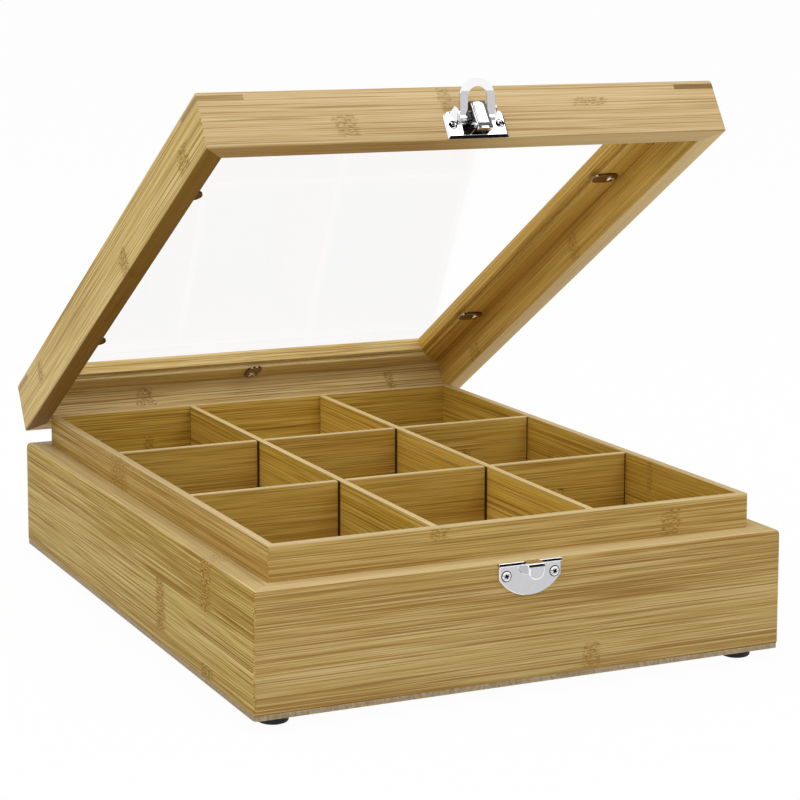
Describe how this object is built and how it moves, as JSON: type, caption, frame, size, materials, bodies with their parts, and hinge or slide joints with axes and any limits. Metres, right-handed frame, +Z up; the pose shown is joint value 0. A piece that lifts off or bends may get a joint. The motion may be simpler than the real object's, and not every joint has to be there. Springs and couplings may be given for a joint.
{
  "type": "tea bag organizer box",
  "caption": "Bamboo tea bag box with a grid of compartments, a hinged lid with a glass window, and a metal draw latch.",
  "frame": {"origin": "middle of the bottom panel's underside", "axes": "+Z up, +Y from the latch side towards the hinge side, +X to the right seen from the latch side"},
  "size_m": [0.24, 0.3286, 0.2477],
  "materials": {
    "bamboo_body": "satin bamboo, fine straight grain",
    "bamboo_inside": "satin bamboo, fine straight grain",
    "bamboo_lid": "satin bamboo, fine straight grain",
    "bamboo_key": "satin bamboo, end cut",
    "plywood": "raw plywood",
    "rubber": "matt black",
    "glass": "clear polished",
    "clip_metal": "plated steel",
    "hinge_metal": "bright nickel plate",
    "chrome": "bright nickel plate"
  },
  "bodies": {
    "base": {"body_front_wall": "bamboo_body", "body_back_wall": "bamboo_body", "body_left_wall": "bamboo_body", "body_right_wall": "bamboo_body", "liner_front": "bamboo_inside", "liner_back": "bamboo_inside", "liner_left": "bamboo_inside", "liner_right": "bamboo_inside", "divider_long_left": "bamboo_inside", "divider_long_right": "bamboo_inside", "divider_cross_front": "bamboo_inside", "divider_cross_back": "bamboo_inside", "bottom_panel": "plywood", "foot_front_left": "rubber", "foot_front_right": "rubber", "foot_back_left": "rubber", "foot_back_right": "rubber", "keeper_plate": "chrome", "keeper_screw_left": "chrome", "keeper_screw_right": "chrome", "hinge_left_base_leaf": "hinge_metal", "hinge_right_base_leaf": "hinge_metal", "hinge_left_pin": "hinge_metal", "hinge_right_pin": "hinge_metal", "hinge_left_base_screws": "hinge_metal", "hinge_right_base_screws": "hinge_metal"},
    "lid": {"lid_front_rail": "bamboo_lid", "lid_back_rail": "bamboo_lid", "lid_left_rail": "bamboo_lid", "lid_right_rail": "bamboo_lid", "key_front_left": "bamboo_key", "key_front_right": "bamboo_key", "key_back_left": "bamboo_key", "key_back_right": "bamboo_key", "glass_pane": "glass", "clip_back": "clip_metal", "clip_front": "clip_metal", "clip_left_back": "clip_metal", "clip_left_front": "clip_metal", "clip_right_back": "clip_metal", "clip_right_front": "clip_metal", "clip_screw_back": "clip_metal", "clip_screw_front": "clip_metal", "clip_screw_left_back": "clip_metal", "clip_screw_left_front": "clip_metal", "clip_screw_right_back": "clip_metal", "clip_screw_right_front": "clip_metal", "hinge_left_lid_leaf": "hinge_metal", "hinge_right_lid_leaf": "hinge_metal", "hinge_left_lid_screws": "hinge_metal", "hinge_right_lid_screws": "hinge_metal", "latch_plate": "chrome", "latch_screw_left": "chrome", "latch_screw_right": "chrome", "lever_pin": "chrome"},
    "lever": {"latch_lever": "chrome", "loop_pin": "chrome"},
    "loop": {"latch_loop": "chrome"}
  },
  "joints": [
    {"name": "lid_hinge", "type": "hinge", "parent": "base", "child": "lid", "pos_m": [0, 0.1634, 0.0515], "axis": [-1, 0, 0], "range_deg": [-31.5, 63.5]},
    {"name": "lever_pivot", "type": "hinge", "parent": "lid", "child": "lever", "pos_m": [-0.0006, -0.11074, 0.22348], "axis": [1, 0, 0], "range_deg": [0, 145]},
    {"name": "loop_pivot", "type": "hinge", "parent": "lever", "child": "loop", "pos_m": [-0.0006, -0.10529, 0.22624], "axis": [1, 0, 0], "range_deg": [-31.5, 148.5]}
  ]
}
